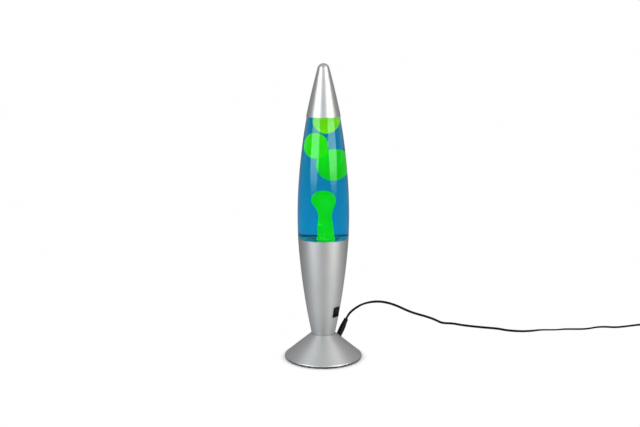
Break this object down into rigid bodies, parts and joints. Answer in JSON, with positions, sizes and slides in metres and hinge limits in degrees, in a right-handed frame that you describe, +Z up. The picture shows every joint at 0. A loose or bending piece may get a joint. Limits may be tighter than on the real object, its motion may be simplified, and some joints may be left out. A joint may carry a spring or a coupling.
{
  "type": "liquid motion lamp",
  "caption": "Table lamp whose warm bulb keeps wax moving in a tapered glass bottle of coloured liquid, between a spun metal base with a flared foot and a cone cap.",
  "frame": {"origin": "middle of the foot, on the table", "axes": "+Z up along the lamp's axis; +Y away from the viewer, +X to the viewer's right, where the supply lead goes"},
  "size_m": [0.7202, 0.257, 0.41],
  "materials": {
    "satin_metal": "satin, spun and lacquered",
    "black_plastic": "fine matte moulding",
    "black_gloss": "smooth moulding",
    "black_rubber": "matte",
    "zinc_steel": "bright zinc plate",
    "closure_metal": "lacquered tinplate",
    "brass": "plain",
    "ceramic": "unglazed ceramic",
    "bulb_glass": "clear pressed glass",
    "clear_glass": "clear polished glass",
    "blue_liquid": "clear blue liquid",
    "green_wax": "smooth translucent wax",
    "wire_red": "wire insulation",
    "wire_black": "wire insulation",
    "lead_sheath": "flat twin lead, satin"
  },
  "bodies": {
    "base": {"foot_shell": "satin_metal", "upper_base": "satin_metal", "bottom_cover": "black_plastic", "foot_pads": "black_rubber", "threaded_tube": "zinc_steel", "tube_nuts": "zinc_steel", "tube_washers": "zinc_steel", "holder_bracket": "zinc_steel", "holder_screws": "zinc_steel", "bottle_seat": "zinc_steel", "lampholder": "ceramic", "holder_contacts": "brass", "seat_gasket": "black_rubber", "switch_housing": "black_plastic", "switch_tabs": "brass", "jack_body": "black_plastic", "jack_pin": "brass", "jack_nut": "zinc_steel", "jack_tabs": "brass", "plug_barrel": "zinc_steel", "plug_grip": "black_plastic", "wire_feed": "wire_red", "wire_return": "wire_black", "wire_switched": "wire_red", "lead": "lead_sheath", "lead_coil": "lead_sheath", "lead_tail": "lead_sheath", "coil_tie": "black_rubber", "adapter_body": "black_plastic", "adapter_relief": "black_rubber", "adapter_pins": "zinc_steel"},
    "bulb": {"bulb_reflector": "bulb_glass", "bulb_front_glass": "bulb_glass", "bulb_capsule": "bulb_glass", "bulb_cement": "ceramic", "bulb_pins": "zinc_steel"},
    "bottle": {"glass_bottle": "clear_glass", "liquid": "blue_liquid", "wax_column": "green_wax", "wax_blob_left": "green_wax", "wax_blob_right": "green_wax", "wax_blob_top": "green_wax", "wax_spring": "zinc_steel", "crown_closure": "closure_metal", "sealing_disc": "black_rubber"},
    "cap": {"top_cap": "satin_metal"},
    "rocker": {"switch_rocker": "black_gloss"}
  },
  "joints": [
    {"name": "rocker_tilt", "type": "hinge", "parent": "base", "child": "rocker", "pos_m": [0.01772, -0.01487, 0.06897], "axis": [0.6428, 0.766, 0], "range_deg": [0, 18]},
    {"name": "bottle_lift", "type": "slide", "parent": "base", "child": "bottle", "axis": [0, 0, 1], "range_m": [0, 0.06]},
    {"name": "cap_lift", "type": "slide", "parent": "bottle", "child": "cap", "axis": [0, 0, 1], "range_m": [0, 0.06]},
    {"name": "bulb_pull", "type": "slide", "parent": "base", "child": "bulb", "axis": [0, 0, 1], "range_m": [0, 0.012]}
  ]
}
